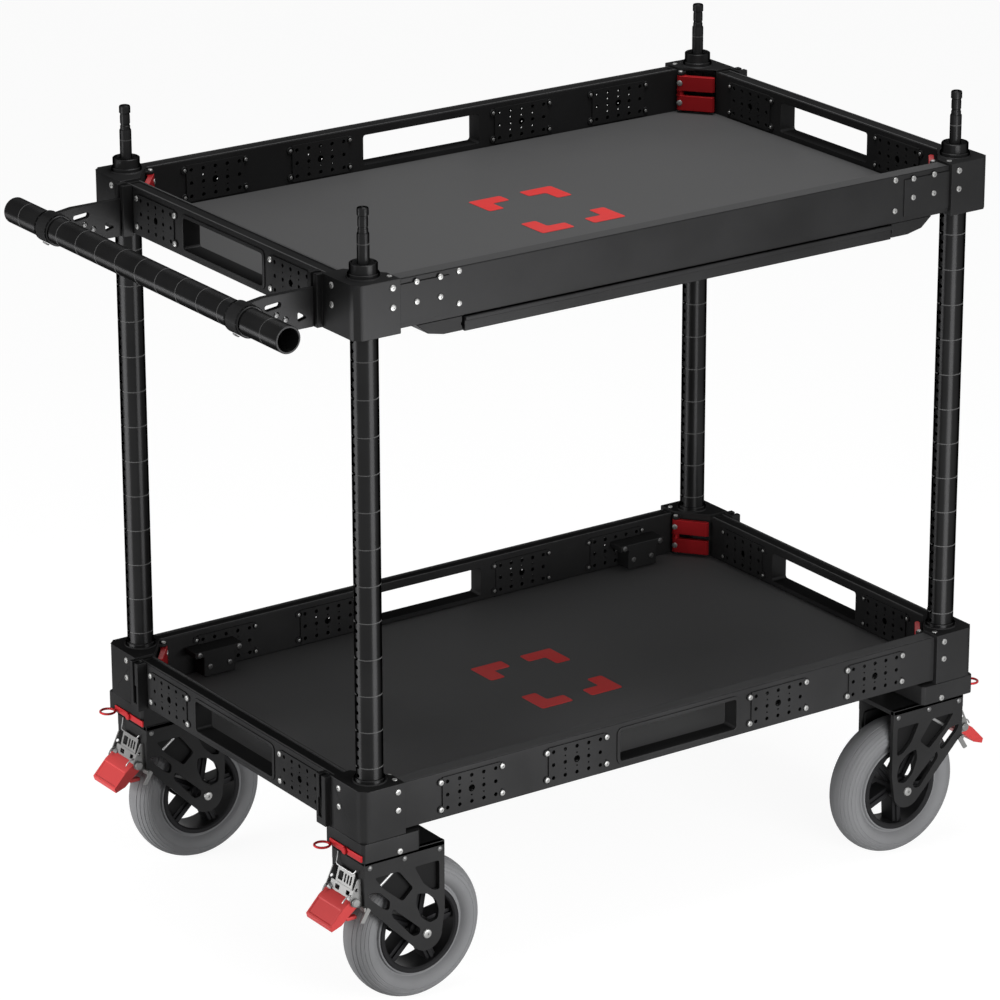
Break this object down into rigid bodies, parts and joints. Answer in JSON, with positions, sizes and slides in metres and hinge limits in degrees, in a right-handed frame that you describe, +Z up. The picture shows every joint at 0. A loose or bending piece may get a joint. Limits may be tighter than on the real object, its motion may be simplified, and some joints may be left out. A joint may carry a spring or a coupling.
{
  "type": "camera cart",
  "caption": "tiered equipment cart with tube posts, clamped tray corners, a tube push handle, a slide-out shelf and braked swivel casters",
  "frame": {"origin": "on the floor under the middle of the whole cart's outline, handle and brake pedals included", "axes": "+X runs along the trays away from the push handle, +Y from the shelf side to the back, +Z up"},
  "size_m": [1.188, 0.676, 1.097],
  "materials": {
    "frame_coat": "fine black anodised satin",
    "deck_coat": "charcoal powder coat, fine texture",
    "post_black": "gloss black anodised",
    "red_coat": "satin red anodised",
    "red_plastic": "red moulded plastic",
    "tyre_rubber": "matt grey rubber",
    "rim_black": "black moulded plastic"
  },
  "bodies": {
    "lower_frame": {"lower_deck": "deck_coat", "lower_front_panel": "frame_coat", "lower_right_panel": "frame_coat", "lower_back_panel": "frame_coat", "lower_left_panel": "frame_coat", "lower_front_left_corner_block": "frame_coat", "lower_front_right_corner_block": "frame_coat", "lower_back_left_corner_block": "frame_coat", "lower_back_right_corner_block": "frame_coat", "front_left_post": "post_black", "front_right_post": "post_black", "back_left_post": "post_black", "back_right_post": "post_black", "left_equipment_bracket": "frame_coat", "right_equipment_bracket": "frame_coat"},
    "upper_tray": {"upper_deck": "deck_coat", "upper_front_panel": "frame_coat", "upper_right_panel": "frame_coat", "upper_back_panel": "frame_coat", "upper_left_panel": "frame_coat", "upper_front_left_corner_block": "frame_coat", "upper_front_right_corner_block": "frame_coat", "upper_back_left_corner_block": "frame_coat", "upper_back_right_corner_block": "frame_coat", "left_shelf_rail": "frame_coat", "right_shelf_rail": "frame_coat"},
    "shelf": {"keyboard_shelf": "frame_coat"},
    "handle": {"handle_tube": "post_black", "front_handle_arm": "frame_coat", "back_handle_arm": "frame_coat"},
    "front_left_caster": {"front_left_caster_fork": "frame_coat"},
    "front_left_wheel": {"front_left_tyre": "tyre_rubber", "front_left_wheel_rim": "rim_black"},
    "front_left_brake": {"front_left_brake_pedal": "red_plastic"},
    "front_left_latch": {"front_left_release_latch": "red_coat"},
    "front_right_caster": {"front_right_caster_fork": "frame_coat"},
    "front_right_wheel": {"front_right_tyre": "tyre_rubber", "front_right_wheel_rim": "rim_black"},
    "front_right_brake": {"front_right_brake_pedal": "red_plastic"},
    "front_right_latch": {"front_right_release_latch": "red_coat"},
    "back_left_caster": {"back_left_caster_fork": "frame_coat"},
    "back_left_wheel": {"back_left_tyre": "tyre_rubber", "back_left_wheel_rim": "rim_black"},
    "back_left_brake": {"back_left_brake_pedal": "red_plastic"},
    "back_left_latch": {"back_left_release_latch": "red_coat"},
    "back_right_caster": {"back_right_caster_fork": "frame_coat"},
    "back_right_wheel": {"back_right_tyre": "tyre_rubber", "back_right_wheel_rim": "rim_black"},
    "back_right_brake": {"back_right_brake_pedal": "red_plastic"},
    "back_right_latch": {"back_right_release_latch": "red_coat"},
    "lower_front_left_levers": {"lower_front_left_clamp_levers": "red_coat"},
    "lower_front_right_levers": {"lower_front_right_clamp_levers": "red_coat"},
    "lower_back_left_levers": {"lower_back_left_clamp_levers": "red_coat"},
    "lower_back_right_levers": {"lower_back_right_clamp_levers": "red_coat"},
    "upper_front_left_levers": {"upper_front_left_clamp_levers": "red_coat"},
    "upper_front_right_levers": {"upper_front_right_clamp_levers": "red_coat"},
    "upper_back_left_levers": {"upper_back_left_clamp_levers": "red_coat"},
    "upper_back_right_levers": {"upper_back_right_clamp_levers": "red_coat"}
  },
  "joints": [
    {"name": "upper_tray_height", "type": "slide", "parent": "lower_frame", "child": "upper_tray", "axis": [0, 0, 1], "range_m": [-0.45, 0]},
    {"name": "shelf_slide", "type": "slide", "parent": "upper_tray", "child": "shelf", "axis": [0, -1, 0], "range_m": [0, 0.24]},
    {"name": "handle_lift", "type": "slide", "parent": "upper_tray", "child": "handle", "axis": [0, 0, 1], "range_m": [0, 0.065]},
    {"name": "front_left_swivel", "type": "hinge", "parent": "lower_frame", "child": "front_left_caster", "pos_m": [-0.41653, -0.2745, 0.2288], "axis": [0, 0, 1], "continuous": true},
    {"name": "front_left_wheel_spin", "type": "hinge", "parent": "front_left_caster", "child": "front_left_wheel", "pos_m": [-0.36003, -0.2745, 0.1], "axis": [0, 1, 0], "continuous": true},
    {"name": "front_left_brake_press", "type": "hinge", "parent": "front_left_caster", "child": "front_left_brake", "pos_m": [-0.46653, -0.2745, 0.17], "axis": [0, -1, 0], "range_deg": [0, 25]},
    {"name": "front_left_latch_pull", "type": "slide", "parent": "lower_frame", "child": "front_left_latch", "axis": [-1, 0, 0], "range_m": [0, 0.008], "stiffness_N_per_m": 500},
    {"name": "front_right_swivel", "type": "hinge", "parent": "lower_frame", "child": "front_right_caster", "pos_m": [0.50647, -0.2745, 0.2288], "axis": [0, 0, 1], "continuous": true},
    {"name": "front_right_wheel_spin", "type": "hinge", "parent": "front_right_caster", "child": "front_right_wheel", "pos_m": [0.44997, -0.2745, 0.1], "axis": [0, 1, 0], "continuous": true},
    {"name": "front_right_brake_press", "type": "hinge", "parent": "front_right_caster", "child": "front_right_brake", "pos_m": [0.55647, -0.2745, 0.17], "axis": [0, 1, 0], "range_deg": [0, 25]},
    {"name": "front_right_latch_pull", "type": "slide", "parent": "lower_frame", "child": "front_right_latch", "axis": [1, 0, 0], "range_m": [0, 0.008], "stiffness_N_per_m": 500},
    {"name": "back_left_swivel", "type": "hinge", "parent": "lower_frame", "child": "back_left_caster", "pos_m": [-0.41653, 0.2745, 0.2288], "axis": [0, 0, 1], "continuous": true},
    {"name": "back_left_wheel_spin", "type": "hinge", "parent": "back_left_caster", "child": "back_left_wheel", "pos_m": [-0.36003, 0.2745, 0.1], "axis": [0, 1, 0], "continuous": true},
    {"name": "back_left_brake_press", "type": "hinge", "parent": "back_left_caster", "child": "back_left_brake", "pos_m": [-0.46653, 0.2745, 0.17], "axis": [0, -1, 0], "range_deg": [0, 25]},
    {"name": "back_left_latch_pull", "type": "slide", "parent": "lower_frame", "child": "back_left_latch", "axis": [-1, 0, 0], "range_m": [0, 0.008], "stiffness_N_per_m": 500},
    {"name": "back_right_swivel", "type": "hinge", "parent": "lower_frame", "child": "back_right_caster", "pos_m": [0.50647, 0.2745, 0.2288], "axis": [0, 0, 1], "continuous": true},
    {"name": "back_right_wheel_spin", "type": "hinge", "parent": "back_right_caster", "child": "back_right_wheel", "pos_m": [0.44997, 0.2745, 0.1], "axis": [0, 1, 0], "continuous": true},
    {"name": "back_right_brake_press", "type": "hinge", "parent": "back_right_caster", "child": "back_right_brake", "pos_m": [0.55647, 0.2745, 0.17], "axis": [0, 1, 0], "range_deg": [0, 25]},
    {"name": "back_right_latch_pull", "type": "slide", "parent": "lower_frame", "child": "back_right_latch", "axis": [1, 0, 0], "range_m": [0, 0.008], "stiffness_N_per_m": 500},
    {"name": "lower_front_left_clamp", "type": "hinge", "parent": "lower_frame", "child": "lower_front_left_levers", "pos_m": [-0.39725, -0.28369, 0.293], "axis": [0, 0, -1], "range_deg": [0, 90]},
    {"name": "lower_front_right_clamp", "type": "hinge", "parent": "lower_frame", "child": "lower_front_right_levers", "pos_m": [0.48719, -0.28369, 0.293], "axis": [0, 0, 1], "range_deg": [0, 90]},
    {"name": "lower_back_left_clamp", "type": "hinge", "parent": "lower_frame", "child": "lower_back_left_levers", "pos_m": [-0.39725, 0.28369, 0.293], "axis": [0, 0, 1], "range_deg": [0, 90]},
    {"name": "lower_back_right_clamp", "type": "hinge", "parent": "lower_frame", "child": "lower_back_right_levers", "pos_m": [0.48719, 0.28369, 0.293], "axis": [0, 0, -1], "range_deg": [0, 90]},
    {"name": "upper_front_left_clamp", "type": "hinge", "parent": "upper_tray", "child": "upper_front_left_levers", "pos_m": [-0.39725, -0.28369, 0.9725], "axis": [0, 0, -1], "range_deg": [0, 90]},
    {"name": "upper_front_right_clamp", "type": "hinge", "parent": "upper_tray", "child": "upper_front_right_levers", "pos_m": [0.48719, -0.28369, 0.9725], "axis": [0, 0, 1], "range_deg": [0, 90]},
    {"name": "upper_back_left_clamp", "type": "hinge", "parent": "upper_tray", "child": "upper_back_left_levers", "pos_m": [-0.39725, 0.28369, 0.9725], "axis": [0, 0, 1], "range_deg": [0, 90]},
    {"name": "upper_back_right_clamp", "type": "hinge", "parent": "upper_tray", "child": "upper_back_right_levers", "pos_m": [0.48719, 0.28369, 0.9725], "axis": [0, 0, -1], "range_deg": [0, 90]}
  ]
}
